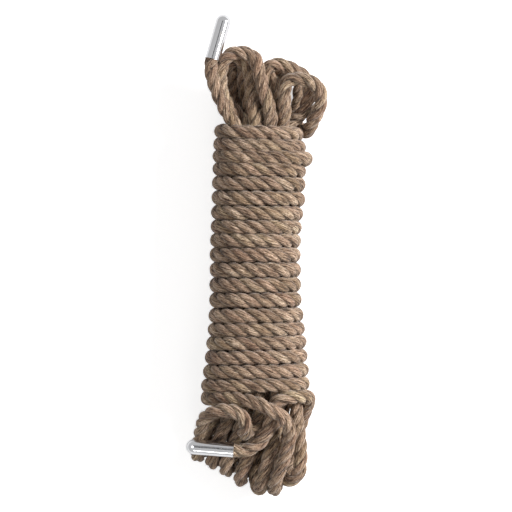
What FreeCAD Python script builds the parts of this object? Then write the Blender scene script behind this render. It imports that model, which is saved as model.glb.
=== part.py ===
import FreeCAD, Part
import math
import os
import Sketcher
from FreeCAD import Vector

# A hank of three-strand natural-fibre rope, lying flat: loops laid lengthwise, wound round the waist
# and closed by its own end, with a metal cap on each rope end.
# Millimetres. X runs across the hank, Y along it towards the upper cap, Z up from the surface it lies on.
# The rope's routes are measured from the winding's axis. The Placement lifts every piece to the surface and
# brings the underside of one turn, near the middle of the hank, to the origin.

SIZES = {
    "cord_diameter": 6.0,
    "resting_flat_share": 0.1,
    "chord_turn": 20.0,
    "wound_turns": 19,
    "origin_turn": 9,
    "turn_gap": 0.56,
    "first_turn": 58.6,
    "first_turn_slant": 1.3,
    "slant_fall": 0.06,
    "side_room": 1.1,
    "corner_width": 10.9,
    "corner_height": 10.3,
    "face_room": 0.605,
    "side_room_growth": 0.01192,
    "top_row_gap": 0.6,
    "leg_gap": 1.2,
    "row_nesting": 0.27,
    "waist_below_first_turn": 8.6,
    "waist_above_last_turn": 46.04,
    "flare_above_last_turn": 9.04,
    "flare_spread": 1.36,
    "flare_sink": 0.93,
    "cap_length": 22.0,
    "cap_room": 0.3,
    "cap_wall": 0.4,
    "glue_length": 2.35,
    "glue_clearance": 0.1,
}

# The bights and tails below are given for this cord and for these heights of the first and last turn. Their
# points spread with the cord and stay at their turn when the winding gets longer or shorter.
GIVEN_CORD = 6.0
GIVEN_FIRST_TURN = 58.6
GIVEN_LAST_TURN = -66.04

# Legs in rope order, as (row from the top, column across). Odd legs run down and even legs run up.
LEGS = [
    (0, -1), (2, -1), (3, -0.5), (1, -0.5), (0, 0), (1, -1.5),
    (0, 1), (3, 0.5), (2, 0), (1, 0.5), (2, 1), (1, 1.5),
]

# Bights at the top end, in rope order, from an even leg to the next odd one.
TOP_BIGHTS = [
    [(-7.2, 60.0, -3.1), (-9.4, 67.0, -6.4), (-11.2, 73.0, -8.6), (-11.8, 78.6, -9.4),
     (-11.0, 83.4, -10.3), (-7.1, 87.2, -11.8), (-3.2, 83.4, -13.1), (-2.5, 76.5, -12.4),
     (-2.3, 66.5, -8.9)],
    [(-3.6, 60.0, 2.9), (-5.0, 65.6, 1.5), (-9.8, 73.0, -1.5), (-12.3, 80.4, -2.0),
     (-12.0, 86.5, -1.2), (-7.4, 90.3, 0.4), (-2.9, 86.5, 1.6), (-2.5, 80.4, 2.2),
     (-2.1, 73.9, 3.6), (-0.1, 64.6, 7.8)],
    [(-10.7, 60.0, 2.8), (-12.0, 66.0, 3.4), (-13.5, 73.9, 5.2), (-14.6, 82.3, 6.5),
     (-13.5, 90.2, 7.5), (-7.0, 94.6, 8.5), (-0.5, 91.6, 9.0), (2.1, 84.2, 9.2),
     (3.5, 75.8, 9.2), (6.3, 66.0, 8.8)],
    [(5.2, 66.5, -9.1), (7.9, 73.9, -12.2), (9.5, 80.4, -13.2), (7.4, 85.1, -11.8),
     (4.0, 84.6, -9.0), (1.9, 79.5, -7.0), (1.3, 72.1, -4.6), (0.8, 64.6, -2.8)],
    [(4.9, 62.8, 2.5), (5.3, 73.0, 2.0), (5.6, 82.3, 2.0), (7.4, 87.4, 2.3),
     (11.6, 89.0, 2.6), (16.7, 87.7, 2.3), (20.9, 84.6, 1.3), (23.5, 79.5, 0.2),
     (22.4, 73.5, -0.7), (17.6, 67.2, -2.0), (11.4, 60.8, -3.6)],
]

# The last bight runs from leg 12 round the right of the top end to the back, where the winding starts.
LAST_BIGHT = [
    (11.6, 60.5, 3.3), (13.0, 67.4, 5.8), (13.0, 75.3, 8.4), (15.6, 80.7, 9.0), (20.9, 82.3, 8.8),
    (26.3, 80.4, 8.0), (29.5, 75.8, 6.5), (29.5, 70.2, 4.0), (27.0, 65.6, 0.0), (23.7, 63.4, -6.5),
    (19.2, 62.8, -12.4),
]

# Bights at the lower end, in rope order, from an odd leg to the next even one. The third one is the slack
# bight that curls up over the rest before it turns under at the left.
LOW_BIGHTS = [
    [(-9.4, -68.4, 6.7), (-13.0, -77.7, 3.2), (-16.7, -85.1, 0.0), (-18.6, -89.3, -2.0),
     (-20.8, -94.1, -7.2), (-18.6, -89.3, -12.5), (-15.8, -81.4, -11.5), (-11.6, -70.2, -4.5)],
    [(-5.6, -71.1, -8.8), (-8.4, -83.2, -13.0), (-11.6, -93.0, -14.0), (-13.8, -97.8, -8.8),
     (-11.6, -93.0, -3.5), (-9.3, -86.0, -2.0), (-6.5, -77.7, -1.0), (-5.0, -68.4, 1.5)],
    [(0.6, -66.5, 7.5), (2.3, -72.1, 7.3), (0.0, -77.4, 8.1), (-3.4, -80.0, 11.0),
     (-4.4, -80.4, 16.5), (-4.7, -76.7, 20.0), (-7.9, -73.2, 21.0), (-13.0, -71.4, 20.5),
     (-18.6, -72.8, 18.0), (-22.1, -76.3, 13.2), (-23.9, -80.9, 7.3), (-25.8, -87.0, 1.1),
     (-27.3, -92.3, -4.0), (-25.8, -87.0, -9.6), (-23.2, -80.4, -8.0), (-17.2, -69.3, -0.5)],
    [(10.2, -68.4, 5.3), (10.0, -75.8, 3.1), (8.2, -85.1, 2.6), (3.7, -97.7, 1.0),
     (1.8, -103.1, -4.8), (3.7, -97.7, -10.5), (6.5, -85.1, -11.5), (6.9, -72.1, -9.0)],
    [(0.7, -72.1, -6.4), (-0.9, -85.1, -12.5), (-3.7, -95.8, -13.5), (-5.8, -100.3, -8.5),
     (-3.7, -95.8, -3.5), (0.0, -87.4, -1.8), (3.0, -77.7, 0.0), (4.7, -68.4, 1.0)],
    [(11.2, -75.8, -4.0), (12.6, -87.0, -4.4), (13.0, -93.5, -3.6), (15.6, -97.2, -1.0),
     (19.1, -95.8, 1.5), (21.2, -90.7, 2.6), (21.4, -83.7, 2.6), (20.0, -75.8, 2.4),
     (16.3, -68.4, 2.4)],
]

# The winding's last pass leaves the round and crosses the front slantwise, lifted over what is tucked under.
SLANT_PASS = [(-15.8, -66.1, 12.0), (-7.8, -66.7, 17.2)]

# The upper tail, from the cap's mouth into the winding, where it becomes the first leg.
UPPER_TAIL = [
    (-20.3, 91.6, 12.0), (-21.4, 87.7, 12.5), (-19.2, 81.3, 12.8), (-15.8, 73.9, 12.2),
    (-11.4, 66.6, 9.9),
]
UPPER_TAIL_END_RUN = 8.0

# The lower tail goes on from the slanting pass: down, round the lowest bight, up behind to the right side,
# over the front and under the slanting pass to the cap.
LOWER_TAIL = [
    (5.2, -70.6, 19.5), (10.0, -72.6, 19.3), (14.4, -77.6, 14.2), (15.6, -84.4, 9.8), (14.6, -91.1, 7.5),
    (11.2, -99.0, 5.0),
    (8.5, -106.6, -3.0), (11.2, -99.0, -11.0), (14.4, -92.1, -12.0), (18.6, -83.7, -12.0),
    (22.3, -75.8, -9.5), (24.9, -70.2, -2.5), (23.9, -67.4, 5.0), (20.0, -66.3, 11.0), (14.4, -66.0, 13.6),
    (9.8, -67.4, 13.1), (7.2, -72.5, 12.1), (6.2, -79.5, 10.9), (2.1, -86.3, 9.6), (-4.2, -90.2, 9.5),
    (-10.5, -89.7, 9.5),
]


def add_sizes(doc):
    sheet = doc.addObject("Spreadsheet::Sheet", "Sizes")
    for row, (name, value) in enumerate(SIZES.items(), start=1):
        sheet.set("A%d" % row, name)
        sheet.set("B%d" % row, str(value))
        sheet.setAlias("B%d" % row, name)
    doc.recompute()
    return sheet


def unit(vector):
    return vector * (1.0 / vector.Length)


def smooth_directions(points, fixed):
    # each direction is that of the circle through a point and its two neighbours
    directions = []
    last = len(points) - 1
    for index in range(len(points)):
        if index in fixed:
            directions.append(fixed[index])
        elif index == 0:
            directions.append(unit(points[1] - points[0]))
        elif index == last:
            directions.append(unit(points[last] - points[last - 1]))
        else:
            before = points[index] - points[index - 1]
            after = points[index + 1] - points[index]
            weight = before.Length / after.Length
            directions.append(unit(before * (1.0 / weight) + after * weight))
    return directions


def arc_middle(start, direction, end):
    chord = end - start
    along = unit(chord)
    side = direction - along * direction.dot(along)
    if side.Length < 1e-6:
        return None
    turn = math.atan2(side.Length, direction.dot(along))
    return (start + end) * 0.5 + unit(side) * (0.5 * chord.Length * math.tan(0.5 * turn))


def arc_edge(start, direction, end):
    middle = arc_middle(start, direction, end)
    if middle is None:
        return Part.LineSegment(start, end).toShape()
    return Part.Arc(start, middle, end).toShape()


def biarc_edges(start, leaving, end, arriving):
    # two tangent arcs with equal tangent lengths
    chord = end - start
    both = leaving + arriving
    spread = 2.0 * (1.0 - leaving.dot(arriving))
    if spread < 1e-9:
        reach = chord.dot(chord) / (4.0 * chord.dot(arriving))
    else:
        slope = chord.dot(both)
        reach = (math.sqrt(slope * slope + spread * chord.dot(chord)) - slope) / spread
    joint = (start + end + (leaving - arriving) * reach) * 0.5
    joint_direction = unit(end - arriving * reach - joint)
    return [arc_edge(start, leaving, joint), arc_edge(joint, joint_direction, end)]


def smooth_edges(points, fixed):
    directions = smooth_directions(points, fixed)
    edges = []
    for index in range(len(points) - 1):
        start, end = points[index], points[index + 1]
        chord = unit(end - start)
        straight = chord.dot(directions[index]) > 1 - 1e-9 and chord.dot(directions[index + 1]) > 1 - 1e-9
        if straight:
            edges.append(Part.LineSegment(start, end).toShape())
        else:
            edges += biarc_edges(start, directions[index], end, directions[index + 1])
    return edges


def turn_step(sheet):
    return sheet.cord_diameter + sheet.turn_gap


def last_turn(sheet):
    return sheet.first_turn - turn_step(sheet) * sheet.wound_turns


def moved(sheet, points, given_turn, turn):
    spread = sheet.cord_diameter / GIVEN_CORD
    return [Vector(x * spread, turn + (y - given_turn) * spread, z * spread) for x, y, z in points]


def at_top(sheet, points):
    return moved(sheet, points, GIVEN_FIRST_TURN, sheet.first_turn)


def at_foot(sheet, points):
    return moved(sheet, points, GIVEN_LAST_TURN, last_turn(sheet))


def row_spacing(sheet):
    # the legs of one row lie in the hollows of the next
    return sheet.cord_diameter - sheet.row_nesting


def leg_point(sheet, leg, along, spread, sink):
    row, column = leg
    spacing = sheet.cord_diameter + (sheet.top_row_gap if row == 0 else sheet.leg_gap)
    return Vector(column * spacing * spread, along, (1.5 - row) * row_spacing(sheet) * sink)


def waist_top(sheet):
    return sheet.first_turn - sheet.waist_below_first_turn


def waist_low(sheet):
    return last_turn(sheet) + sheet.waist_above_last_turn


def flare_end(sheet):
    return last_turn(sheet) + sheet.flare_above_last_turn


def leg_points(sheet, leg):
    # from the top end to the lower end
    return [
        leg_point(sheet, leg, waist_top(sheet), 1.0, 1.0),
        leg_point(sheet, leg, waist_low(sheet), 1.0, 1.0),
        leg_point(sheet, leg, flare_end(sheet), sheet.flare_spread, sheet.flare_sink),
    ]


def upper_route(sheet):
    first_leg = leg_point(sheet, LEGS[0], waist_top(sheet), 1.0, 1.0)
    run = Vector(0, UPPER_TAIL_END_RUN, 0)
    return at_top(sheet, UPPER_TAIL) + [first_leg + run, first_leg]


def lower_route(sheet):
    return at_foot(sheet, LOWER_TAIL)


def hank_route(sheet):
    winding, ways = winding_route(sheet)
    points = []
    fixed = {}
    for number, leg in enumerate(LEGS):
        stations = leg_points(sheet, leg)
        if number % 2:
            stations.reverse()
        first = len(points)
        points += stations
        waist = unit(stations[1] - stations[0])
        flare = unit(stations[2] - stations[1])
        fixed[first] = waist
        fixed[first + 1] = flare if number % 2 else waist
        fixed[first + 2] = flare
        if number == len(LEGS) - 1:
            points += at_top(sheet, LAST_BIGHT)
        elif number % 2:
            points += at_top(sheet, TOP_BIGHTS[number // 2])
        else:
            points += at_foot(sheet, LOW_BIGHTS[number // 2])
    for point in (winding[0] - ways[0] * sheet.cord_diameter, winding[0]):
        fixed[len(points)] = ways[0]
        points.append(point)
    return points, fixed


def winding_half_width(sheet, along):
    # the turns go round the widest row of legs, and widen where it spreads
    legs = 1.5 * (sheet.cord_diameter + sheet.leg_gap)
    growth = legs * (sheet.flare_spread - 1.0) / (waist_low(sheet) - flare_end(sheet)) + sheet.side_room_growth
    return legs + sheet.cord_diameter + sheet.side_room + max(0.0, waist_low(sheet) - along) * growth


def winding_half_height(sheet):
    return 1.5 * row_spacing(sheet) + sheet.cord_diameter + sheet.face_room


def winding_stations(sheet):
    # quarter points in rope order: back, left, front, right, and again
    # each turn slants a little less across the front than the turn before it
    step = turn_step(sheet)
    right_before = sheet.first_turn - sheet.first_turn_slant + step - sheet.slant_fall
    stations = [("back", 0.5 * (right_before + sheet.first_turn))]
    for number in range(int(sheet.wound_turns)):
        left = sheet.first_turn - step * number
        right = left - sheet.first_turn_slant + sheet.slant_fall * number
        stations.append(("left", left))
        stations.append(("front", 0.5 * (left + right)))
        stations.append(("right", right))
        stations.append(("back", 0.5 * (right + left - step)))
    stations.append(("left", last_turn(sheet)))
    return stations


def winding_route(sheet):
    # each quarter point is a short straight flat, so that the oval has flat sides
    height = winding_half_height(sheet)
    slant_pass = at_foot(sheet, SLANT_PASS)
    ways = {"left": Vector(0, 0, 1), "front": Vector(1, 0, 0), "right": Vector(0, 0, -1), "back": Vector(-1, 0, 0)}
    points = []
    fixed = {}
    stations = winding_stations(sheet)
    for index, (side, along) in enumerate(stations):
        width = winding_half_width(sheet, along)
        centres = {"left": Vector(-width, along, 0), "right": Vector(width, along, 0),
                   "front": Vector(0, along, height), "back": Vector(0, along, -height)}
        flat = height - sheet.corner_height if side in ("left", "right") else width - sheet.corner_width
        before = stations[index - 1][1] if index else 2 * along - stations[1][1]
        after = stations[index + 1][1] if index + 1 < len(stations) else slant_pass[0].y
        rise = (after - before) / (2.0 * (width + height))
        way = unit(ways[side] + Vector(0, rise, 0))
        for sign in (-1, 1):
            fixed[len(points)] = way
            points.append(centres[side] + way * (sign * flat))
    points += slant_pass
    end, beyond = lower_route(sheet)[:2]
    way = unit(beyond - end)
    for point in (end - way * sheet.cord_diameter, end):
        fixed[len(points)] = way
        points.append(point)
    return points, fixed


def tail_edges(points):
    # straight runs joined by the largest tangent arcs that the shorter run allows
    edges = []
    radii = []
    start = points[0]
    for index in range(1, len(points) - 1):
        before = points[index] - points[index - 1]
        after = points[index + 1] - points[index]
        half_turn = 0.5 * before.getAngle(after)
        reach = 0.45 * min(before.Length, after.Length)
        radii.append(reach / math.tan(half_turn))
        arc_start = points[index] - unit(before) * reach
        arc_end = points[index] + unit(after) * reach
        edges.append(Part.LineSegment(start, arc_start).toShape())
        edges.append(arc_edge(arc_start, unit(before), arc_end))
        start = arc_end
    edges.append(Part.LineSegment(start, points[-1]).toShape())
    return edges, radii


def cord_profile(sheet, start, direction):
    # six-sided section with a flat turned towards the side named by across
    across = Vector(0, 0, 1) if abs(direction.z) < 0.9 else Vector(1, 0, 0)
    side = unit(across - direction * across.dot(direction))
    other = direction.cross(side)
    radius = 0.5 * sheet.cord_diameter
    corners = []
    for number in range(6):
        angle = math.radians(30 + 60 * number)
        corners.append(start + (side * math.cos(angle) + other * math.sin(angle)) * radius)
    return Part.makePolygon(corners + [corners[0]])


def in_chords(sheet, edges):
    # the arcs of the loops and turns in equal chords, which keeps their facets few and flat
    points = []
    for edge in edges:
        count = 1
        if isinstance(edge.Curve, Part.Circle):
            turn = math.degrees(edge.Length / edge.Curve.Radius)
            count = int(math.ceil(turn / sheet.chord_turn - 1e-6))
        points += edge.discretize(count + 1)[:-1]
    points.append(edges[-1].valueAt(edges[-1].LastParameter))
    straightened = points[:1]
    for index in range(1, len(points) - 1):
        before = unit(points[index] - straightened[-1])
        after = unit(points[index + 1] - points[index])
        if before.getAngle(after) > math.radians(1):
            straightened.append(points[index])
    straightened.append(points[-1])
    return [Part.LineSegment(a, b).toShape() for a, b in zip(straightened, straightened[1:])]


def cord_shape(sheet, edges, mitred):
    path = Part.Wire(edges)
    start = path.Edges[0].valueAt(path.Edges[0].FirstParameter)
    direction = unit(path.Edges[0].tangentAt(path.Edges[0].FirstParameter))
    shell = Part.BRepOffsetAPI.MakePipeShell(path)
    shell.setTransitionMode(1 if mitred else 0)
    shell.add(cord_profile(sheet, start, direction))
    shell.build()
    shell.makeSolid()
    shape = shell.shape()
    section = 1.5 * math.sqrt(3) * (0.5 * sheet.cord_diameter) ** 2
    print("  length %.1f, volume %.0f, section x length %.0f" % (path.Length, shape.Volume, section * path.Length))
    return shape


def sampled(edges, step):
    points = []
    for edge in edges:
        count = max(2, int(math.ceil(edge.Length / step)) + 1)
        points += edge.discretize(count)[:-1]
    return points


def least_gap(points, step, diameter):
    # distance between points that lie more than three diameters apart along the cord, less the diameter
    cell = diameter * 1.5
    apart = int(3 * diameter / step)
    cells = {}
    best = 1e9
    for index, point in enumerate(points):
        key = (int(point.x // cell), int(point.y // cell), int(point.z // cell))
        for x in (-1, 0, 1):
            for y in (-1, 0, 1):
                for z in (-1, 0, 1):
                    for other in cells.get((key[0] + x, key[1] + y, key[2] + z), ()):
                        if index - other > apart:
                            best = min(best, (point - points[other]).Length)
        cells.setdefault(key, []).append(index)
    return best - diameter


def add_cord(doc, sheet, name, edges):
    print(name)
    wound = name in ("hank_loops", "wrap_turns")
    shape = cord_shape(sheet, in_chords(sheet, edges) if wound else edges, wound)
    print("  least gap to itself %.2f" % least_gap(sampled(edges, 0.8), 0.8, sheet.cord_diameter))
    if wound:
        shape = with_resting_flat(sheet, shape)
    cord = doc.addObject("Part::Feature", name)
    cord.Label = name
    cord.Shape = shape
    cord.Placement = FreeCAD.Placement(lift(sheet), FreeCAD.Rotation())
    return cord


def flat_radius(sheet):
    return 0.5 * sheet.cord_diameter * math.cos(math.radians(30))


def axis_height(sheet):
    return winding_half_height(sheet) + flat_radius(sheet) - sheet.resting_flat_share * sheet.cord_diameter


def lift(sheet):
    backs = [along for side, along in winding_stations(sheet) if side == "back"]
    return Vector(0, -backs[int(sheet.origin_turn)], axis_height(sheet))


def with_resting_flat(sheet, shape):
    # what lies below the resting plane is cut away, and the rope's give makes a flat there
    box = shape.BoundBox
    margin = sheet.cord_diameter
    depth = box.ZMax + axis_height(sheet) + margin
    corner = Vector(box.XMin - margin, box.YMin - margin, -axis_height(sheet))
    keep = Part.makeBox(box.XLength + 2 * margin, box.YLength + 2 * margin, depth, corner)
    return shape.common(keep)


def origin_plane(body, role):
    return [plane for plane in body.Origin.OriginFeatures if plane.Role == role][0]


def add_sketch(body, name, pieces, joins):
    # a closed half section on the upright plane; each join names two ends, 1 for a start and 2 for an end
    sketch = body.newObject("Sketcher::SketchObject", name)
    sketch.AttachmentSupport = [(origin_plane(body, "XZ_Plane"), "")]
    sketch.MapMode = "FlatFace"
    for piece in pieces:
        sketch.addGeometry(piece, False)
    for first, first_end, second, second_end in joins:
        sketch.addConstraint(Sketcher.Constraint("Coincident", first, first_end, second, second_end))
    return sketch


def bind(sketch, name, expression, *constraint):
    index = sketch.addConstraint(Sketcher.Constraint(*constraint))
    sketch.renameConstraint(index, name)
    sketch.setExpression("Constraints." + name, expression)


def on_axis(sketch, *ends):
    for piece, end in ends:
        sketch.addConstraint(Sketcher.Constraint("PointOnObject", piece, end, -2))


def quarter_round(radius, height):
    circle = Part.Circle(Vector(0, height, 0), Vector(0, 0, 1), radius)
    return Part.ArcOfCircle(circle, 0, math.pi / 2)


def line(x1, y1, x2, y2):
    return Part.LineSegment(Vector(x1, y1, 0), Vector(x2, y2, 0))


def cap_section(body, sheet):
    # straight wall, open mouth below and a closed end above, round outside and tapering inside
    inner = 0.5 * (sheet.cord_diameter + sheet.cap_room)
    outer = inner + sheet.cap_wall
    centre = sheet.cap_length - outer
    inside_top = centre + 0.85 * inner
    pieces = [
        line(inner, 0, outer, 0),
        line(outer, 0, outer, centre),
        quarter_round(outer, centre),
        line(0, centre + outer, 0, inside_top),
        line(0, inside_top, 0.45 * inner, inside_top),
        line(0.45 * inner, inside_top, inner, centre),
        line(inner, centre, inner, 0),
    ]
    joins = [(0, 2, 1, 1), (1, 2, 2, 1), (2, 2, 3, 1), (3, 2, 4, 1), (4, 2, 5, 1), (5, 2, 6, 1), (6, 2, 0, 1)]
    sketch = add_sketch(body, body.Name + "_section", pieces, joins)
    on_axis(sketch, (2, 3), (3, 1), (3, 2))
    sketch.addConstraint(Sketcher.Constraint("PointOnObject", 0, 1, -1))
    for level in (0, 4):
        sketch.addConstraint(Sketcher.Constraint("Horizontal", level))
    for upright in (1, 6):
        sketch.addConstraint(Sketcher.Constraint("Vertical", upright))
    sketch.addConstraint(Sketcher.Constraint("Horizontal", 2, 3, 2, 1))
    sketch.addConstraint(Sketcher.Constraint("Horizontal", 2, 3, 6, 1))
    bore = "(Sizes.cord_diameter + Sizes.cap_room)"
    bind(sketch, "inside_end_radius", bore + " * 0.225", "DistanceX", -1, 1, 4, 2, 0.45 * inner)
    bind(sketch, "inside_end_height", bore + " * 0.425", "DistanceY", 2, 3, 4, 1, 0.85 * inner)
    bind(sketch, "bore_radius", bore + " / 2", "DistanceX", -1, 1, 0, 1, inner)
    bind(sketch, "wall", "Sizes.cap_wall", "DistanceX", 0, 1, 0, 2, sheet.cap_wall)
    bind(sketch, "length", "Sizes.cap_length", "DistanceY", -1, 1, 3, 1, sheet.cap_length)
    return sketch


def cap_frame(route):
    # the cap's mouth, and the way from there to its closed end, straight on from the rope's nearest run
    return route[0], unit(route[0] - route[1])


def lay_along(sheet, item, route, depth):
    mouth, way = cap_frame(route)
    start = mouth + way * depth + lift(sheet)
    item.Placement = FreeCAD.Placement(start, FreeCAD.Rotation(Vector(0, 0, 1), way))


def add_cap(doc, sheet, name, route):
    body = doc.addObject("PartDesign::Body", name)
    body.Label = name
    turned = body.newObject("PartDesign::Revolution", name + "_turned")
    turned.Profile = cap_section(body, sheet)
    turned.ReferenceAxis = (turned.Profile[0], ["V_Axis"])
    turned.Angle = 360
    lay_along(sheet, body, route, 0)
    return body


def grip_depth(sheet):
    # the rope fills the cap's straight wall as far as the glue
    outer = 0.5 * (sheet.cord_diameter + sheet.cap_room) + sheet.cap_wall
    return sheet.cap_length - outer - sheet.glue_length - sheet.glue_clearance


def add_glue(doc, sheet, name, route):
    # sets behind the rope's cut end, as far as the cap's straight wall goes
    plug = doc.addObject("Part::Cylinder", name)
    plug.Label = name
    plug.setExpression("Radius", "(Sizes.cord_diameter + Sizes.cap_room) / 2 - Sizes.glue_clearance")
    plug.setExpression("Height", "Sizes.glue_length")
    lay_along(sheet, plug, route, grip_depth(sheet) + sheet.glue_clearance)
    return plug


def gripped_tail(sheet, name, points, at_start):
    # the tail with its straight end inside the cap
    edges, radii = tail_edges(points)
    mouth, way = cap_frame(points if at_start else points[::-1])
    inside = mouth + way * grip_depth(sheet)
    if at_start:
        edges.insert(0, Part.LineSegment(inside, mouth).toShape())
    else:
        edges.append(Part.LineSegment(mouth, inside).toShape())
    print(name, "radii", ", ".join("%.1f" % radius for radius in radii))
    return edges


def check_states(doc):
    for item in doc.Objects:
        if "Invalid" in item.State or "Error" in item.State:
            raise RuntimeError(item.Name + " failed")


def check_solids(objects):
    for item in objects:
        if item.Shape.isNull() or not item.Shape.isValid() or len(item.Shape.Solids) != 1:
            raise RuntimeError(item.Name + " is not one valid solid")


def write_parts(objects):
    os.makedirs("parts", exist_ok=True)
    for item in objects:
        item.Shape.exportStep("parts/" + item.Label + ".step")
        box = item.Shape.BoundBox
        print("%-18s %8.0f mm3  x %.1f..%.1f  y %.1f..%.1f  z %.1f..%.1f" % (
            item.Label, item.Shape.Volume, box.XMin, box.XMax, box.YMin, box.YMax, box.ZMin, box.ZMax))


def build():
    doc = FreeCAD.newDocument("rope_hank")
    sheet = add_sizes(doc)
    upper = upper_route(sheet)
    lower = lower_route(sheet)
    cords = [
        add_cord(doc, sheet, "rope_tail_upper", gripped_tail(sheet, "rope_tail_upper", upper, True)),
        add_cord(doc, sheet, "hank_loops", smooth_edges(*hank_route(sheet))),
        add_cord(doc, sheet, "wrap_turns", smooth_edges(*winding_route(sheet))),
        add_cord(doc, sheet, "rope_tail_lower", gripped_tail(sheet, "rope_tail_lower", lower, False)),
    ]
    ends = [
        add_cap(doc, sheet, "end_cap_upper", upper),
        add_cap(doc, sheet, "end_cap_lower", lower[::-1]),
        add_glue(doc, sheet, "glue_plug_upper", upper),
        add_glue(doc, sheet, "glue_plug_lower", lower[::-1]),
    ]
    doc.recompute()
    check_states(doc)
    check_solids(ends + cords)
    write_parts(ends + cords)


build()
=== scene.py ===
import math

import bpy
import numpy as np
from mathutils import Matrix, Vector


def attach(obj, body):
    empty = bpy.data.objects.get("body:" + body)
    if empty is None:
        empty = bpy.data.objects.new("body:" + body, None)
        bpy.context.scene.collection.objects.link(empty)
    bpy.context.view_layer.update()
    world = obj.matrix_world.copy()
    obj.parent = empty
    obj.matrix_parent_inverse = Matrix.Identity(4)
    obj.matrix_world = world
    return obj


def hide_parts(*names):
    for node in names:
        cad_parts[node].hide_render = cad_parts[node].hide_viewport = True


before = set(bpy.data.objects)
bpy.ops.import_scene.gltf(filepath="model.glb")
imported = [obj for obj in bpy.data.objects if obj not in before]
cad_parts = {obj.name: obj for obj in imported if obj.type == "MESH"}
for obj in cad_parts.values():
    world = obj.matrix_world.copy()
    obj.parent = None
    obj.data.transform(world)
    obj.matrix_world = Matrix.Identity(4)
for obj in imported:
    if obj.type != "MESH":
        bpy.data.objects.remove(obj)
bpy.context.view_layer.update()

scene = bpy.context.scene

# The view: straight down from far above, so that it is almost parallel
view = {
    "pixelSize": 0.000465,  # metres of the object in one pixel of the picture
    "framePixels": 512,
    "height": 1.9,
    "focusHeight": 0.026,  # the pixel size holds at this height, between the front and the middle
    "sensor": 36.0,
    "farthest": 20.0,
}
routeOffset = np.array([0.0, -2.43, 17.2])  # from the winding's axis to the part's own zero, in mm

cameraData = bpy.data.cameras.new("camera")
cameraData.lens = (view["sensor"] * (view["height"] - view["focusHeight"])
                   / (view["framePixels"] * view["pixelSize"]))
cameraData.sensor_width = view["sensor"]
cameraData.clip_end = view["farthest"]
camera = bpy.data.objects.new("camera", cameraData)
middleRow = routeOffset[1] * 0.001 + view["pixelSize"]  # one pixel above the route's zero
camera.location = (0.0, middleRow, view["height"])
scene.collection.objects.link(camera)
scene.camera = camera
print("stage: camera")

# The route, in millimetres from the winding's axis: x to the right, y up the hank, z to the front.
# These are the control points of the rope's line, the same as the part's but for small moves.

# legs in the order that the rope takes them, as (row from the front, column)
legs = [
    (0, -1), (2, -1), (3, -0.5), (1, -0.5), (0, 0), (1, -1.5),
    (0, 1), (3, 0.5), (2, 0), (1, 0.5), (2, 1), (1, 1.5),
]

# folds at the top, from each leg to the next
topBights = [
    [(-7.4, 60.0, -3.3), (-8.8, 65.0, -9.2), (-10.2, 73.0, -12.8), (-11.0, 81.0, -13.8),
     (-12.0, 89.2, -13.8), (-8.8, 91.6, -13.0), (-5.6, 89.2, -11.8), (-6.0, 80.0, -10.4),
     (-4.0, 72.0, -10.2), (-2.3, 64.6, -8.9)],
    [(-3.8, 60.0, 2.5), (-7.2, 65.6, -1.8), (-12.0, 70.4, -3.4), (-16.4, 76.6, -2.0), (-17.2, 83.0, 0.0),
     (-15.2, 89.8, 0.8), (-9.6, 92.6, 1.4), (-4.2, 90.0, 1.8), (-2.4, 84.0, 2.2), (-2.2, 77.0, 2.8),
     (-1.6, 71.0, 5.0), (-0.1, 64.6, 7.8)],
    [(-10.2, 60.4, 1.8), (-11.0, 66.2, 2.4), (-14.2, 72.0, 4.4), (-16.6, 78.0, 6.2), (-16.6, 84.4, 6.8),
     (-15.8, 91.0, 7.4), (-12.0, 94.6, 8.2), (-6.2, 95.4, 8.8), (-0.4, 93.0, 9.0), (1.2, 87.0, 9.2),
     (2.6, 80.9, 9.2), (4.5, 74.6, 9.2), (6.8, 67.6, 9.0), (7.0, 62.0, 8.7)],
    [(5.2, 65.0, -9.1), (12.8, 65.8, -10.8), (19.4, 68.2, -12.8), (20.6, 77.0, -13.0),
     (20.2, 85.4, -10.5), (14.8, 88.2, -8.0), (10.2, 87.0, -6.0), (8.6, 80.4, -5.4),
     (2.4, 75.0, -6.2), (0.8, 64.6, -2.8)],
    [(5.1, 60.6, 2.6), (8.4, 66.6, 2.7), (9.8, 74.0, 3.2), (9.2, 80.8, 3.2), (5.0, 84.8, 2.8),
     (5.8, 89.4, 2.8), (11.2, 90.0, 2.8), (18.6, 87.2, 2.3), (23.6, 83.4, 1.3), (25.4, 78.2, 0.2),
     (24.2, 72.8, -0.7), (22.2, 67.2, -2.0), (16.8, 63.4, -3.0), (12.2, 58.2, -3.6)],
]

# the last fold at the top, which runs on behind the hank into the winding
lastBight = [
    (12.0, 60.5, 3.6), (13.6, 67.4, 6.0), (12.8, 75.6, 8.4), (14.0, 82.4, 9.0), (20.6, 83.2, 8.8),
    (27.0, 81.2, 8.0), (30.7, 76.2, 6.5), (29.6, 69.6, 4.0), (26.4, 63.2, 0.0), (23.9, 57.8, -7.0),
    (20.2, 61.0, -12.6), (13.0, 61.8, -15.2), (7.0, 61.3, -15.2),
]

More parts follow.
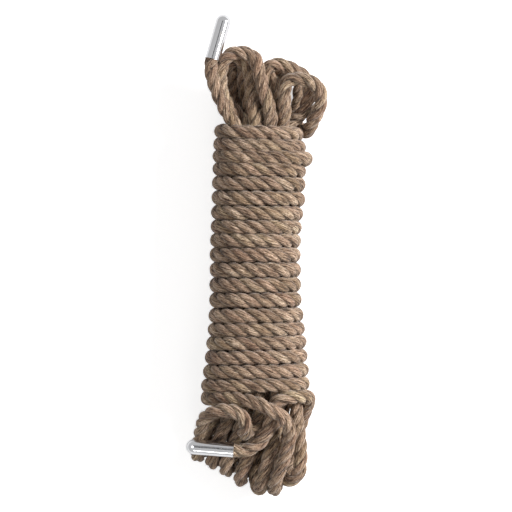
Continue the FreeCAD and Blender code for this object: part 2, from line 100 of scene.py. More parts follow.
# folds at the foot
lowBights = [
    [(-10.4, -68.4, 3.6), (-14.0, -77.7, -3.8), (-17.4, -86.0, -5.0), (-20.8, -94.0, -3.4),
     (-20.6, -97.2, -8.4), (-18.2, -95.0, -13.4), (-17.2, -82.0, -13.0), (-12.2, -70.2, -5.5)],
    [(-5.6, -71.1, -8.8), (-11.0, -83.2, -13.0), (-11.1, -98.4, -14.0), (-14.0, -100.8, -8.5),
     (-14.6, -97.6, -3.0), (-9.8, -87.0, -4.0), (-6.7, -77.7, -3.4), (-5.0, -68.4, 1.5)],
    [(0.6, -66.5, 7.5), (2.3, -72.1, 7.3), (0.0, -77.8, 8.1), (-4.2, -81.4, 10.4),
     (-5.8, -82.2, 15.5), (-4.2, -77.6, 19.8), (-6.8, -72.6, 21.2), (-13.0, -70.4, 21.2),
     (-19.8, -71.6, 18.4), (-24.4, -74.8, 13.6), (-25.4, -80.9, 7.3), (-27.8, -89.8, 1.6),
     (-27.4, -93.8, -4.2), (-24.6, -91.2, -10.4), (-22.8, -80.8, -9.0), (-17.2, -69.3, -0.5)],
    [(10.2, -68.4, 5.3), (10.2, -75.8, 3.6), (8.0, -86.0, 3.0), (2.8, -105.2, 2.2),
     (1.7, -109.5, -4.7), (-1.0, -105.2, -11.6), (2.4, -85.1, -12.4), (6.2, -72.1, -9.0)],
    [(0.7, -72.1, -6.4), (-5.2, -86.1, -13.0), (-5.9, -102.8, -13.8), (-7.4, -105.4, -7.9),
     (-7.4, -101.8, -2.0), (-1.4, -88.0, -1.2), (2.6, -77.7, 0.0), (4.7, -68.4, 1.0)],
    [(13.8, -72.6, -4.6), (9.4, -87.0, -5.8), (8.2, -98.4, -5.2), (13.8, -105.4, -3.4),
     (20.2, -102.4, 1.0), (21.0, -93.0, 2.6), (20.2, -83.7, 2.6), (19.2, -75.0, 2.4),
     (18.4, -66.8, 2.4)],
]

# the winding's last pass, down across the front
slantPass = [(-15.8, -65.4, 12.6), (-7.8, -65.8, 17.2), (0.4, -67.2, 19.7), (5.2, -69.8, 19.7)]

# tails, the upper one from its cap and the lower one to its cap
upperTail = [
    (-20.3, 91.6, 12.0), (-21.4, 87.7, 12.5), (-19.6, 81.3, 12.8), (-17.0, 73.9, 11.8),
    (-14.0, 67.6, 10.0), (-10.4, 62.4, 7.8), (-7.4, 57.0, 7.6), (-6.6, 50.0, 8.6),
]
lowerTail = [
    (5.2, -69.8, 19.7), (10.8, -72.6, 19.0), (15.2, -77.6, 14.2), (16.0, -84.4, 9.8), (13.8, -92.0, 8.0),
    (8.8, -104.6, 5.0), (8.2, -110.2, -3.2), (10.6, -105.0, -11.4), (17.8, -96.2, -13.0),
    (19.4, -84.0, -12.0), (22.0, -74.8, -9.5), (24.8, -67.4, -2.5), (24.2, -65.0, 5.0),
    (20.0, -64.8, 11.4), (14.4, -65.0, 13.8), (9.4, -66.6, 13.2), (7.2, -72.5, 12.1),
    (6.2, -79.5, 10.9), (2.1, -86.3, 9.6), (-4.2, -90.2, 9.5), (-10.5, -89.7, 9.5),
]
gripDepth = 16.0  # how far the rope's ends reach into the caps


def outward(mouth, before):
    way = np.array(mouth) - np.array(before)
    return way / np.linalg.norm(way)


# The hank's legs, in four rows of three, in millimetres
hank = {
    "legGap": 7.2,  # side by side, centre to centre
    "frontLegGap": 6.6,
    "rowGap": 5.73,
    "middleRow": 1.5,
    "stations": (50.0, -20.0, -57.0),  # heights of a leg's three points
    "footSpread": 1.36,  # the legs fan out sideways at the foot
    "footSink": 0.93,  # and come together front to back
}


def legPoints(leg):
    row, column = leg
    x = column * (hank["frontLegGap"] if row == 0 else hank["legGap"])
    z = (hank["middleRow"] - row) * hank["rowGap"]
    top, middle, foot = hank["stations"]
    return [(x, top, z), (x, middle, z), (hank["footSpread"] * x, foot, hank["footSink"] * z)]


def hankPoints():
    points = []
    for number, leg in enumerate(legs):
        stations = legPoints(leg)
        fold = number // 2
        if number % 2 == 0:
            points += stations + lowBights[fold]
            continue
        stations.reverse()
        points += stations + (topBights[fold] if fold < len(topBights) else lastBight)
    return points


# The winding: squarish ovals round the legs, each a little lower than the last, in millimetres
winding = {
    "turns": 19,
    "turnPoints": 16,
    "halfDepth": 15.3,
    "squareness": 0.76,  # 1 makes ellipses, less makes squarer turns
    "firstTilt": 1.4,  # a turn's front is this much higher on the left
    "tiltStep": 0.16,  # and each turn less than the one before
    "leadIn": 6.2,  # how far above the first turn the rope comes in
    "looseTurn": 2,
    "looseBulge": 3.2,  # the loose turn stands out on the right
    "closeGap": 6.45,  # turns farther apart than this spread until they meet
    "mostSpread": 1.1,
    "spreadStart": 20.0,  # the spread grows over this length from each end
    # half widths to the right and to the left, at these heights
    "sideHeights": [58.0, 50.0, 38.0, 27.0, 16.0, 3.0, -11.0, -20.0, -30.0, -39.0, -50.0, -60.0, -67.0],
    "rightSides": [19.0, 20.6, 20.4, 20.0, 18.5, 17.9, 18.0, 18.3, 19.7, 20.6, 21.5, 22.3, 22.8],
    "leftSides": [16.6, 17.2, 17.4, 17.8, 18.2, 18.7, 18.9, 18.9, 19.2, 20.2, 21.2, 22.8, 23.4],
    # where each turn crosses the middle of the front, and then the pass after the last
    "heights": [
        57.9, 51.9, 46.4, 40.6, 34.2, 27.3, 20.5, 14.0, 7.7, 1.0,
        -6.0, -13.0, -20.0, -27.2, -33.7, -40.0, -46.5, -53.2, -59.6, -65.6,
    ],
    # from behind the hank round its left side, up to the last pass; heights are from that pass's own
    "runOut": [(-6.0, 3.4, -15.2), (-15.0, 2.0, -12.6), (-21.6, 0.9, -7.0), (-23.0, -0.4, 0.0),
               (-21.2, -0.4, 7.0)],
}


def turnHeight(number):
    heights = winding["heights"]
    return heights[number] if number >= 0 else heights[0] + winding["leadIn"]


def halfTilt(number):
    return 0.5 * (winding["firstTilt"] - winding["tiltStep"] * number)


def halfWidth(along, onRight, number):
    falling = [-height for height in winding["sideHeights"]]
    width = float(np.interp(-along, falling, winding["rightSides" if onRight else "leftSides"]))
    if onRight and number == winding["looseTurn"]:
        width += winding["looseBulge"]
    return width


def squared(value):
    return math.copysign(abs(value) ** winding["squareness"], value)


def windingPoints():
    points = []
    for number in range(winding["turns"]):
        middle = turnHeight(number)
        left, right = middle + halfTilt(number), middle - halfTilt(number)
        nextLeft = turnHeight(number + 1) + halfTilt(number + 1)
        lastRight = turnHeight(number - 1) - halfTilt(number - 1)
        quarters = [0.5 * (lastRight + left), left, middle, right, 0.5 * (right + nextLeft)]
        for step in range(winding["turnPoints"]):
            share = step / winding["turnPoints"]
            angle = -0.5 * math.pi - 2 * math.pi * share  # from the back by the left to the front
            along = float(np.interp(4 * share, range(5), quarters))
            cosine, sine = math.cos(angle), math.sin(angle)
            x = halfWidth(along, cosine > 0, number) * squared(cosine)
            points.append((x, along, winding["halfDepth"] * squared(sine)))
    end = turnHeight(winding["turns"])
    points += [(x, end + y, z) for x, y, z in winding["runOut"]]
    return [lastBight[-1]] + points[1:] + slantPass


def placed(points):
    return (np.array(points, dtype=float) + routeOffset) * 0.001


def splinePoints(name, points, resolution):
    # the smooth line that follows the control points, read back as points that lie close together
    data = bpy.data.curves.new(name, "CURVE")
    data.dimensions = "3D"
    data.resolution_u = resolution
    spline = data.splines.new("NURBS")
    spline.points.add(len(points) - 1)
    for point, place in zip(spline.points, points):
        point.co = (place[0], place[1], place[2], 1.0)
    spline.order_u = 3
    spline.use_endpoint_u = True
    curve = bpy.data.objects.new(name, data)
    scene.collection.objects.link(curve)
    bpy.context.view_layer.update()
    mesh = bpy.data.meshes.new_from_object(curve)
    line = np.array([vertex.co[:] for vertex in mesh.vertices])
    bpy.data.meshes.remove(mesh)
    bpy.data.objects.remove(curve)
    bpy.data.curves.remove(data)
    return line


def lengthsAlong(line):
    return np.concatenate([[0.0], np.cumsum(np.linalg.norm(np.diff(line, axis=0), axis=1))])


def evenly(line, gap):
    steps = np.linalg.norm(np.diff(line, axis=0), axis=1)
    line = line[np.concatenate([[True], steps > 1e-7])]
    along = lengthsAlong(line)
    count = max(8, int(round(along[-1] / gap)))
    targets = np.linspace(0.0, along[-1], count + 1)
    return np.stack([np.interp(targets, along, line[:, axis]) for axis in range(3)], axis=1)


def gripped(mouth, before):
    return tuple(np.array(mouth) + gripDepth * outward(mouth, before))


ringGap = 0.0006  # metres between the rings of the rope's mesh
routes = {}
for name, route, resolution in (
    ("rope_upper_tail", [gripped(upperTail[0], upperTail[1])] + upperTail, 16),
    ("rope_hank", hankPoints(), 24),
    ("rope_winding", windingPoints(), 10),
    ("rope_lower_tail", lowerTail + [gripped(lowerTail[-1], lowerTail[-2])], 16),
):
    routes[name] = evenly(splinePoints(name, placed(route), resolution), ringGap)
    print("route", name, round(float(lengthsAlong(routes[name])[-1]), 4))
print("stage: routes")

# The rope: three strands laid right-handed round each other, in metres
rope = {
    "diameter": 0.0062,
    "layLength": 0.0174,  # a strand goes once round in this length
    "strandCentre": 0.00152,  # from the rope's centre line to a strand's
    "strandThick": 0.00181,  # half a strand's measure towards the centre line
    "strandWide": 0.00205,  # and across
    "strandSides": 16,
    "strandGirth": 0.0113,  # once round a strand, which scales its pattern
    "strandShift": 0.37,  # moves each strand's pattern on, so that no two match
    # unevenness, each as its amount and the length over which it changes
    "lay": (0.22, 0.013),  # radians
    "slow": (0.045, 0.011),  # shares of a strand's thickness
    "quick": (0.03, 0.0035),
    "lumps": (0.03, 0.0024),
    "smoothing": 3,  # evens out the line where two stretches meet
    "floorGap": 0.00005,
    "firstNormal": (0.3, 0.2, 1.0),
}

# Stray fibres that lean along the rope and out of it, in metres
strays = {
    "perMetre": 5600,
    "rootRadius": 0.0029,
    "rootSpread": 0.0002,
    "sunk": 0.0002,  # how deep the root sits in the strand
    "crownSpread": 0.75,  # radians to either side of a strand's crown
    "lean": 0.45,
    "leanMost": 0.8,
    "shortest": 0.0008,
    "usual": 0.0014,
    "longest": 0.0012,
    "rareness": 6,  # the higher, the fewer long ones
    "kneeAlong": 0.55,  # a fibre bends this far along it
    "kneeRise": 0.7,
    "taper": 0.8,
    "rise": 0.1,
    "riseMore": 0.4,
    "curl": 0.25,
    "curlMost": 0.5,
    "radius": 0.00004,  # about twice a real fibre's, so that it shows
    "radiusMore": 0.00003,
}


def smoothed(line, passes):
    line = line.copy()
    for _ in range(passes):
        line[1:-1] = 0.25 * line[:-2] + 0.5 * line[1:-1] + 0.25 * line[2:]
    return line


def carriedFrames(line, firstNormal):
    # tangents, and normals that turn as little as they can along the line
    tangents = np.gradient(line, axis=0)
    tangents /= np.linalg.norm(tangents, axis=1)[:, None]
    normals = np.zeros_like(line)
    normal = firstNormal - tangents[0] * np.dot(firstNormal, tangents[0])
    for index, tangent in enumerate(tangents):
        normal = normal - tangent * np.dot(normal, tangent)
        normal = normal / np.linalg.norm(normal)
        normals[index] = normal
    return tangents, normals, np.cross(tangents, normals)


def wander(positions, scale, seed):
    # slow unevenness along a length, between about -1 and 1
    source = np.random.default_rng(seed)
    knots = source.uniform(-1, 1, int(np.ceil(positions.max() / scale)) + 4)
    place = positions / scale
    low = np.floor(place).astype(int)
    part = place - low
    part = part * part * (3 - 2 * part)
    return knots[low] * (1 - part) + knots[low + 1] * part


def strandRings(line, normals, sides, along, strand):
    def uneven(name, seed):
        amount, scale = rope[name]
        return amount * wander(along, scale, seed)

    ringSides = rope["strandSides"]
    turn = 2 * math.pi * (along / rope["layLength"] + strand / 3.0)
    turn = turn + uneven("lay", 100 + strand)
    thick = 1 + uneven("slow", 200 + strand) + uneven("quick", 300 + strand)
    angles = np.linspace(-math.pi, math.pi, ringSides + 1)
    outwards = np.cos(turn)[:, None] * normals + np.sin(turn)[:, None] * sides
    across = -np.sin(turn)[:, None] * normals + np.cos(turn)[:, None] * sides
    lumps = [uneven("lumps", 1000 + 40 * strand + side) for side in range(ringSides)]
    size = thick[:, None] * (1 + np.stack(lumps + lumps[:1], axis=1))
    radial = rope["strandCentre"] + rope["strandThick"] * np.cos(angles)[None, :] * size
    sideways = rope["strandWide"] * np.sin(angles)[None, :] * size
    points = (line[:, None, :] + outwards[:, None, :] * radial[:, :, None]
              + across[:, None, :] * sideways[:, :, None])
    u = np.repeat(along[:, None], ringSides + 1, axis=1)
    v = ((angles[None, :] + turn[:, None]) / (2 * math.pi) * rope["strandGirth"]
         + rope["strandShift"] * strand)
    crown = np.repeat(np.cos(angles)[None, :], len(line), axis=0)
    return points, u, v, crown


def strayFibres(line, tangents, normals, sides, along, count, seed):
    # each fibre is a three-sided spike of seven corners
    source = np.random.default_rng(seed)
    place = source.integers(2, len(line) - 2, count)
    strand = source.integers(0, 3, count)
    turn = (2 * math.pi * (along[place] / rope["layLength"] + strand / 3.0)
            + source.uniform(-strays["crownSpread"], strays["crownSpread"], count))
    out = np.cos(turn)[:, None] * normals[place] + np.sin(turn)[:, None] * sides[place]
    across = np.cross(tangents[place], out)
    rootRadius = strays["rootRadius"] + strays["rootSpread"] * source.uniform(-1, 1, count)
    root = line[place] + out * rootRadius[:, None]
    way = source.choice([-1.0, 1.0], count)[:, None] * tangents[place]
    lean = np.clip(source.normal(0, strays["lean"], count), -strays["leanMost"], strays["leanMost"])
    way = way + across * lean[:, None]
    reach = (strays["shortest"] + strays["usual"] * source.random(count)
             + strays["longest"] * source.random(count) ** strays["rareness"])[:, None]
    rise = (strays["rise"] + strays["riseMore"] * source.random(count) ** 2)[:, None]
    curl = np.clip(source.normal(0, strays["curl"], count), -strays["curlMost"], strays["curlMost"])
    stations = [
        root - out * strays["sunk"],
        root + (way * strays["kneeAlong"] + out * rise * strays["kneeRise"]) * reach,
        root + (way + out * rise + across * curl[:, None]) * reach,
    ]
    radius = strays["radius"] + strays["radiusMore"] * source.random(count)
    corners = []
    for station, share in zip(stations, (1.0, strays["taper"])):
        for corner in range(3):
            angle = 2 * math.pi * corner / 3
            offset = (np.cos(angle) * out + np.sin(angle) * across) * (radius * share)[:, None]
            corners.append(station + offset)
    corners.append(stations[2])
    vertices = np.stack(corners, axis=1).reshape(-1, 3)
    base = np.arange(count)[:, None] * len(corners)
    ways = [(corner, (corner + 1) % 3) for corner in range(3)]
    quads = np.concatenate([base + np.array([[this, that, 3 + that, 3 + this]]) for this, that in ways])
    tips = np.concatenate([base + np.array([[3 + this, 3 + that, 6]]) for this, that in ways])
    return vertices, quads, tips


def turnSpread():
    # how much wider than round the rope is, measured along the hank, at each point of the whole line
    heights = np.array(winding["heights"])
    gaps = heights[:-1] - heights[1:]
    middles = (0.5 * (heights[:-1] + heights[1:]) + routeOffset[1]) * 0.001
    spread = np.clip(gaps / winding["closeGap"], 1.0, winding["mostSpread"])
    fromEnds = np.minimum(wholeAlong - wholeAlong[borders[2]], wholeAlong[borders[3] - 1] - wholeAlong)
    share = np.clip(fromEnds / (0.001 * winding["spreadStart"]), 0, 1)
    return 1 + (np.interp(-wholeLine[:, 1], -middles, spread) - 1) * share


def ropeMesh(name, span, seed):
    # one stretch of the whole rope, its three strands and its stray fibres in one mesh
    line, along = wholeLine[span], wholeAlong[span]
    tangents, normals, sides = wholeTangents[span], wholeNormals[span], wholeSides[span]
    vertices, us, vs, crowns, faces = [], [], [], [], []
    start = 0
    row = rope["strandSides"] + 1
    for strand in range(3):
        points, u, v, crown = strandRings(line, normals, sides, along, strand)
        middle = line[:, None, 1]
        points[:, :, 1] = middle + (points[:, :, 1] - middle) * wholeSpread[span][:, None]
        vertices.append(points.reshape(-1, 3))
        us.append(u.reshape(-1))
        vs.append(v.reshape(-1))
        crowns.append(crown.reshape(-1))
        corner = start + np.arange(len(line) - 1)[:, None] * row + np.arange(row - 1)[None, :]
        around = [corner, corner + 1, corner + row + 1, corner + row]
        faces.append(np.stack(around, axis=-1).reshape(-1, 4))
        start += len(line) * row
    strandFaces = sum(len(part) for part in faces)
    fibreCount = int((along[-1] - along[0]) * strays["perMetre"])
    fibres, quads, tips = strayFibres(line, tangents, normals, sides, along, fibreCount, seed)
    vertices = np.concatenate(vertices + [fibres])
    vertices[:, 2] = np.maximum(vertices[:, 2], rope["floorGap"])
    us = np.concatenate(us + [fibres[:, 0]])
    vs = np.concatenate(vs + [fibres[:, 1]])
    crowns = np.concatenate(crowns + [np.ones(len(fibres))])
    squares = np.concatenate(faces + [start + quads])
    flat = np.concatenate([squares.reshape(-1), (start + tips).reshape(-1)])
    corners = np.concatenate([np.full(len(squares), 4), np.full(len(tips), 3)])
    mesh = bpy.data.meshes.new(name)
    mesh.vertices.add(len(vertices))
    mesh.vertices.foreach_set("co", vertices.reshape(-1))
    mesh.loops.add(len(flat))
    mesh.loops.foreach_set("vertex_index", flat)
    mesh.polygons.add(len(corners))
    mesh.polygons.foreach_set("loop_start", np.concatenate([[0], np.cumsum(corners)[:-1]]))
    mesh.polygons.foreach_set("use_smooth", np.ones(len(corners), dtype=bool))
    # material 0 on the strands, 1 on the stray fibres
    mesh.polygons.foreach_set("material_index", (np.arange(len(corners)) >= strandFaces).astype(int))
    mesh.update(calc_edges=True)
    strandMap = mesh.uv_layers.new(name="strandMap")
    strandMap.data.foreach_set("uv", np.stack([us[flat], vs[flat]], axis=1).reshape(-1))
    crownValues = mesh.attributes.new("crown", "FLOAT", "POINT")
    crownValues.data.foreach_set("value", crowns)
    mesh.validate()
    piece = bpy.data.objects.new(name, mesh)
    scene.collection.objects.link(piece)
    return piece


# The stretches in their order, each with the node that it replaces and what sits on its end
stretches = {
    "rope_upper_tail": {"node": "rope_tail_upper", "pieces": 1,
                        "ends": ["end_cap_upper", "glue_plug_upper"]},
    "rope_hank": {"node": "hank_loops", "pieces": 3, "ends": []},
    "rope_winding": {"node": "wrap_turns", "pieces": 3, "ends": []},
    "rope_lower_tail": {"node": "rope_tail_lower", "pieces": 1,
                        "ends": ["end_cap_lower", "glue_plug_lower"]},
}

# one line through all stretches, so that the lay runs on from one to the next
parts = [routes[name][(1 if index else 0):] for index, name in enumerate(stretches)]
borders = np.cumsum([0] + [len(part) for part in parts])
wholeLine = smoothed(np.concatenate(parts), rope["smoothing"])
wholeAlong = lengthsAlong(wholeLine)
wholeTangents, wholeNormals, wholeSides = carriedFrames(wholeLine, np.array(rope["firstNormal"]))
wholeSpread = turnSpread()
print("whole rope", round(float(wholeAlong[-1]), 3), "rings", len(wholeLine))

ropePieces = []
for index, (name, stretch) in enumerate(stretches.items()):
    first, last = max(0, borders[index] - 1), borders[index + 1] - 1
    cuts = np.linspace(first, last, stretch["pieces"] + 1).astype(int)
    for number, (low, high) in enumerate(zip(cuts[:-1], cuts[1:])):
        pieceName = name if stretch["pieces"] == 1 else name + "_" + str(number + 1)
        span = slice(low, high + 1)
        piece = ropeMesh(pieceName, span, 10 * index + number)
        ropePieces.append(piece)
        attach(piece, "root")
        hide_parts(stretch["node"])
        path = [tuple(point) for point in wholeLine[span][::2]]
        if name == "rope_upper_tail":
            path.reverse()  # from the hank out to the cap
print("stage: rope")


def colour(code):
    # a screen colour such as "B5A08E" as the linear one that shaders take
    channels = [int(code[i:i + 2], 16) / 255 for i in (0, 2, 4)]
    linear = [c / 12.92 if c <= 0.04045 else ((c + 0.055) / 1.055) ** 2.4 for c in channels]
    return (*linear, 1.0)


def addNode(tree, kind, settings=None, links=None):
    # settings name the node's own values, its inputs or a ramp's stops, and links join its inputs
    node = tree.nodes.new(kind)
    for key, value in (settings or {}).items():
        if key == "stops":
            elements = node.color_ramp.elements
            elements[0].position, elements[0].color = value[0][0], colour(value[0][1])
            elements[1].position, elements[1].color = value[-1][0], colour(value[-1][1])
            for position, code in value[1:-1]:
                elements.new(position).color = colour(code)
        elif isinstance(key, int) or key in node.inputs:
            node.inputs[key].default_value = value
        else:
            setattr(node, key, value)
    for key, source in (links or {}).items():
        tree.links.new(source, node.inputs[key])
    return node


def newMaterial(name):
    material = bpy.data.materials.new(name)
    material.use_nodes = True
    material.node_tree.nodes.clear()
    return material, material.node_tree


def coat(piece, *materials):
    if piece.data.materials:
        piece.data.materials.clear()
    for material in materials:
        piece.data.materials.append(material)


# Jute, spun into yarns and laid: matt bast fibre in straw and taupe streaks, with the single
# yarns showing as fine ribs that run nearly along the rope, and painted shade where the strands meet.
# Sizes are in millimetres, length along the rope and width round a strand.
jute = {
    "layers": {
        "patches": {"size": (22.0, 9.0), "detail": 3.0, "roughness": 0.55,
                    "stops": [(0.3, "B5A08E"), (0.45, "D0BAA8"), (0.58, "E7D4C2"), (0.75, "F8E9D6")]},
        "hues": {"size": (42.0, 33.0), "detail": 2.0, "roughness": 0.55, "strength": 0.4,
                 "stops": [(0.34, "F4F3D8"), (0.47, "FCFBFA"), (0.54, "FFFCFC"), (0.68, "FFEAE6")]},
        "streaks": {"size": (6.0, 0.67), "detail": 3.0, "roughness": 0.55, "strength": 1.0,
                    "stops": [(0.34, "786B60"), (0.47, "E5DACF"), (0.6, "FFFBF5")]},
        # bundles of fibres: a single one, 0.02 to 0.05 mm, is too fine to show
        "fibres": {"size": (2.4, 0.19), "detail": 2.0, "roughness": 0.6, "strength": 1.0,
                   "stops": [(0.34, "968A7F"), (0.5, "F2ECE4"), (0.62, "FFFFFF")]},
        "specks": {"size": (1.0, 0.38), "detail": 3.0, "roughness": 0.75, "strength": 0.8,
                   "stops": [(0.36, "8C8177"), (0.5, "EFEAE4"), (0.6, "FFFFFF")]},
        "waver": {"size": (11.0, 3.8), "detail": 2.0, "roughness": 0.55},  # bends the yarns' ribs
    },
    "yarnWidth": 0.8,
    "waverDepth": 9.0,
    "yarnStrength": 0.6,
    "yarnStops": [(0.02, "6B5E52"), (0.45, "FFFFFF")],
    # painted shade: darkens the colour towards the grooves between strands
    "paintedGrooveShade": {"From Min": -0.2, "From Max": 0.7, "To Min": 0.7, "To Max": 1.0},
    "relief": {"fibres": 0.22, "streaks": 0.4, "yarns": 0.4},
    "bump": {"Strength": 1.0, "Distance": 0.0005},
    "surface": {"Roughness": 0.82, "Specular IOR Level": 0.28,
                "Sheen Weight": 0.25, "Sheen Roughness": 0.5},
}


def juteMaterial():
    material, tree = newMaterial("jute")
    place = addNode(tree, "ShaderNodeUVMap", {"uv_map": "strandMap"}).outputs["UV"]
    multiply = {"data_type": "RGBA", "blend_type": "MULTIPLY"}
    heights = {}
    tone = None
    for name, layer in jute["layers"].items():
        length, width = layer["size"]
        perMetre = (1000 / length, 1000 / width, 1.0)
        stretched = addNode(tree, "ShaderNodeVectorMath", {"operation": "MULTIPLY", 1: perMetre},
                            {0: place}).outputs[0]
        noise = {"noise_dimensions": "2D", "Scale": 1.0, "Detail": layer["detail"],
                 "Roughness": layer["roughness"]}
        heights[name] = addNode(tree, "ShaderNodeTexNoise", noise, {"Vector": stretched}).outputs["Fac"]
        if "stops" not in layer:
            continue
        tint = addNode(tree, "ShaderNodeValToRGB", {"stops": layer["stops"]},
                       {"Fac": heights[name]}).outputs[0]
        if tone is None:
            tone = tint
        else:
            tone = addNode(tree, "ShaderNodeMix", {**multiply, 0: layer["strength"]},
                           {6: tone, 7: tint}).outputs[2]

    # ribs of the single yarns, which waver a little along the strand
    waver = addNode(tree, "ShaderNodeMath", {"operation": "MULTIPLY", 1: jute["waverDepth"]},
                    {0: heights["waver"]}).outputs[0]
    around = addNode(tree, "ShaderNodeSeparateXYZ", links={0: place}).outputs[1]
    ribs = 1000 * math.pi / jute["yarnWidth"]  # radians in a metre
    phase = addNode(tree, "ShaderNodeMath", {"operation": "MULTIPLY_ADD", 1: ribs},
                    {0: around, 2: waver}).outputs[0]
    wave = addNode(tree, "ShaderNodeMath", {"operation": "SINE"}, {0: phase}).outputs[0]
    heights["yarns"] = addNode(tree, "ShaderNodeMath", {"operation": "ABSOLUTE"}, {0: wave}).outputs[0]
    tint = addNode(tree, "ShaderNodeValToRGB", {"stops": jute["yarnStops"]},
                   {"Fac": heights["yarns"]}).outputs[0]
    tone = addNode(tree, "ShaderNodeMix", {**multiply, 0: jute["yarnStrength"]},
                   {6: tone, 7: tint}).outputs[2]

    # painted shade: the colour darkens towards the grooves between strands, where shade falls
    crown = addNode(tree, "ShaderNodeAttribute", {"attribute_name": "crown"}).outputs["Fac"]
    depth = addNode(tree, "ShaderNodeMapRange", jute["paintedGrooveShade"], {"Value": crown}).outputs[0]
    shade = addNode(tree, "ShaderNodeCombineColor", links={0: depth, 1: depth, 2: depth}).outputs[0]
    tone = addNode(tree, "ShaderNodeMix", {**multiply, 0: 1.0}, {6: tone, 7: shade}).outputs[2]

    relief = None
    for name, weight in jute["relief"].items():
        links = {0: heights[name]} if relief is None else {0: heights[name], 2: relief}
        settings = {"operation": "MULTIPLY_ADD", 1: weight, 2: 0.0}
        relief = addNode(tree, "ShaderNodeMath", settings, links).outputs[0]
    bump = addNode(tree, "ShaderNodeBump", jute["bump"], {"Height": relief})
    shader = addNode(tree, "ShaderNodeBsdfPrincipled", jute["surface"],
                     {"Base Color": tone, "Normal": bump.outputs["Normal"]})
    addNode(tree, "ShaderNodeOutputMaterial", links={"Surface": shader.outputs["BSDF"]})
    return material


# Single jute fibres, combed out by wear: paler than the bundle and a little shiny, like fine straw
looseFibre = {
    "patchSize": 3.8,  # mm
    "stops": [(0.3, "937E63"), (0.52, "CCB598"), (0.72, "FAEBD0")],
    "surface": {"Roughness": 0.6, "Specular IOR Level": 0.35},
}


def fibreMaterial():
    material, tree = newMaterial("juteFibre")
    place = addNode(tree, "ShaderNodeTexCoord").outputs["Object"]
    noise = addNode(tree, "ShaderNodeTexNoise", {"Scale": 1000 / looseFibre["patchSize"], "Detail": 1.0},
                    {"Vector": place}).outputs["Fac"]
    tint = addNode(tree, "ShaderNodeValToRGB", {"stops": looseFibre["stops"]}, {"Fac": noise}).outputs[0]
    shader = addNode(tree, "ShaderNodeBsdfPrincipled", looseFibre["surface"], {"Base Color": tint})
    addNode(tree, "ShaderNodeOutputMaterial", links={"Surface": shader.outputs["BSDF"]})
    return material


finishes = (juteMaterial(), fibreMaterial())
for piece in ropePieces:
    coat(piece, *finishes)

# Steel, deep drawn and polished: a mirror that shows the room in long bright and dark bands,
# with faint marks along the cap. The marks' size is in millimetres, drawn coarser than real ones.
caps = {
    "surface": {"Base Color": colour("DADADC"), "Metallic": 1.0},
    "roughness": {"To Min": 0.1, "To Max": 0.18},
    "markDetail": 3.0,
    "bump": {"Strength": 0.06, "Distance": 0.00005},
    "pieces": {
        "end_cap_upper": {"finish": "polishedSteelUpper", "marks": (1.1, 6.2, 1.1)},
        "end_cap_lower": {"finish": "polishedSteelLower", "marks": (6.2, 1.1, 1.1)},
    },
}


def capMaterial(name, marks):
    material, tree = newMaterial(name)
    place = addNode(tree, "ShaderNodeTexCoord").outputs["Object"]
    perMetre = [1000 / size for size in marks]
    stretched = addNode(tree, "ShaderNodeVectorMath", {"operation": "MULTIPLY", 1: perMetre}, {0: place})
    noise = addNode(tree, "ShaderNodeTexNoise", {"Scale": 1.0, "Detail": caps["markDetail"]},
                    {"Vector": stretched.outputs[0]}).outputs["Fac"]
    rough = addNode(tree, "ShaderNodeMapRange", caps["roughness"], {"Value": noise})
    bump = addNode(tree, "ShaderNodeBump", caps["bump"], {"Height": noise})
    shader = addNode(tree, "ShaderNodeBsdfPrincipled", caps["surface"],
                     {"Roughness": rough.outputs[0], "Normal": bump.outputs["Normal"]})
    addNode(tree, "ShaderNodeOutputMaterial", links={"Surface": shader.outputs["BSDF"]})
    return material


for name, cap in caps["pieces"].items():
    coat(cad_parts[name], capMaterial(cap["finish"], cap["marks"]))

# Epoxy glue, poured in and set: smooth and honey-coloured, hidden at the bottom of the caps
plugs = {
    "pieces": ("glue_plug_upper", "glue_plug_lower"),
    "cloudSize": 1.4,  # mm
    "stops": [(0.3, "B9A878"), (0.7, "D6C9A0")],
    "surface": {"Roughness": 0.45},
}


def glueMaterial():
    material, tree = newMaterial("epoxyGlue")
    place = addNode(tree, "ShaderNodeTexCoord").outputs["Object"]
    noise = addNode(tree, "ShaderNodeTexNoise", {"Scale": 1000 / plugs["cloudSize"], "Detail": 2.0},
                    {"Vector": place}).outputs["Fac"]
    tint = addNode(tree, "ShaderNodeValToRGB", {"stops": plugs["stops"]}, {"Fac": noise}).outputs[0]
    shader = addNode(tree, "ShaderNodeBsdfPrincipled", plugs["surface"], {"Base Color": tint})
    addNode(tree, "ShaderNodeOutputMaterial", links={"Surface": shader.outputs["BSDF"]})
    return material


glue = glueMaterial()
for name in plugs["pieces"]:
    coat(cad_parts[name], glue)
print("stage: materials")


def level(name, left, near, right, far, height):
    # a flat rectangle that faces up
    data = bpy.data.meshes.new(name)
    corners = [(left, near, 0), (right, near, 0), (right, far, 0), (left, far, 0)]
    data.from_pydata(corners, [], [(0, 1, 2, 3)])
    sheet = bpy.data.objects.new(name, data)
    sheet.location = (0.0, 0.0, height)
    scene.collection.objects.link(sheet)
    return sheet


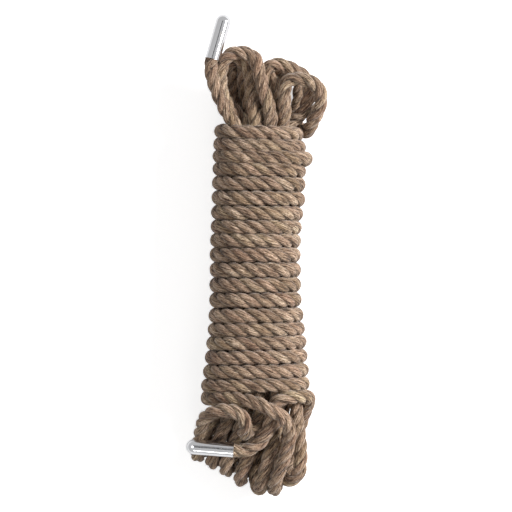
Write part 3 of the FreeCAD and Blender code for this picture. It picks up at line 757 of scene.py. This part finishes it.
# Matt painted board: plain and pale. Its glow whitens only the background, for the camera and,
# more weakly, in mirrors, and throws no light on the object.
floorLook = {
    "reach": 3.0,
    "height": -0.0001,
    "surface": {"Base Color": colour("F7F7F7"), "Roughness": 0.9, "Specular IOR Level": 0.1},
    "cameraGlow": 0.6,
    "mirrorGlow": 0.1,
}
reach = floorLook["reach"]
floor = level("floor", -reach, -reach, reach, reach, floorLook["height"])
floorMaterial, floorTree = newMaterial("paleFloor")
floorShader = addNode(floorTree, "ShaderNodeBsdfPrincipled", floorLook["surface"])
rays = addNode(floorTree, "ShaderNodeLightPath").outputs
mirrors = addNode(floorTree, "ShaderNodeMath", {"operation": "MAXIMUM"},
                  {0: rays["Is Glossy Ray"], 1: rays["Is Transmission Ray"]}).outputs[0]
mirrorGlow = addNode(floorTree, "ShaderNodeMath", {"operation": "MULTIPLY", 1: floorLook["mirrorGlow"]},
                     {0: mirrors}).outputs[0]
strength = addNode(floorTree, "ShaderNodeMath",
                   {"operation": "MULTIPLY_ADD", 1: floorLook["cameraGlow"]},
                   {0: rays["Is Camera Ray"], 2: mirrorGlow}).outputs[0]
glow = addNode(floorTree, "ShaderNodeEmission", {"Color": colour("FFFFFF")}, {"Strength": strength})
both = addNode(floorTree, "ShaderNodeAddShader",
               links={0: floorShader.outputs["BSDF"], 1: glow.outputs[0]})
addNode(floorTree, "ShaderNodeOutputMaterial", links={"Surface": both.outputs[0]})
coat(floor, floorMaterial)

# Black wool felt, pressed: swallows the light. The card hangs above the camera, to the left, and
# gives the polished caps their thin dark line.
cardLook = {
    "left": -0.4, "near": -0.34, "right": 0.04, "far": 1.1, "height": 2.3,
    "surface": {"Base Color": colour("1E1E20"), "Roughness": 0.95},
}
card = level("darkCard", *[cardLook[side] for side in ("left", "near", "right", "far", "height")])
cardMaterial, cardTree = newMaterial("blackFelt")
cardShader = addNode(cardTree, "ShaderNodeBsdfPrincipled", cardLook["surface"])
addNode(cardTree, "ShaderNodeOutputMaterial", links={"Surface": cardShader.outputs["BSDF"]})
coat(card, cardMaterial)

# The studio: an even white room, dim on the object and brighter in mirrors, and three soft lamps
room = {"level": 0.25, "mirrorLevel": 0.4}
lamps = {
    "key": {"place": (1.5, 0.45, 1.05), "size": 0.65, "power": 47.5},  # from the right
    "fill": {"place": (-0.7, 0.0, 1.8), "size": 1.1, "power": 7.0},
    "strip": {"place": (0.0, -1.6, 1.0), "size": 0.4, "power": 2.5},
}

world = bpy.data.worlds.new("studio")
world.use_nodes = True
scene.world = world
roomTree = world.node_tree
background = roomTree.nodes["Background"]
background.inputs["Color"].default_value = colour("FFFFFF")
rays = addNode(roomTree, "ShaderNodeLightPath").outputs
mirrors = addNode(roomTree, "ShaderNodeMath", {"operation": "MAXIMUM"},
                  {0: rays["Is Glossy Ray"], 1: rays["Is Transmission Ray"]}).outputs[0]
strength = addNode(roomTree, "ShaderNodeMath",
                   {"operation": "MULTIPLY_ADD", 1: room["mirrorLevel"], 2: room["level"]}, {0: mirrors})
roomTree.links.new(strength.outputs[0], background.inputs["Strength"])

for name, lamp in lamps.items():
    data = bpy.data.lights.new(name, "AREA")
    data.shape = "DISK"
    data.size = lamp["size"]
    data.energy = lamp["power"]
    light = bpy.data.objects.new(name, data)
    light.location = lamp["place"]
    light.rotation_euler = (-Vector(lamp["place"])).to_track_quat("-Z", "Y").to_euler()
    scene.collection.objects.link(light)
scene.view_settings.view_transform = "Standard"
print("stage: floor and light")
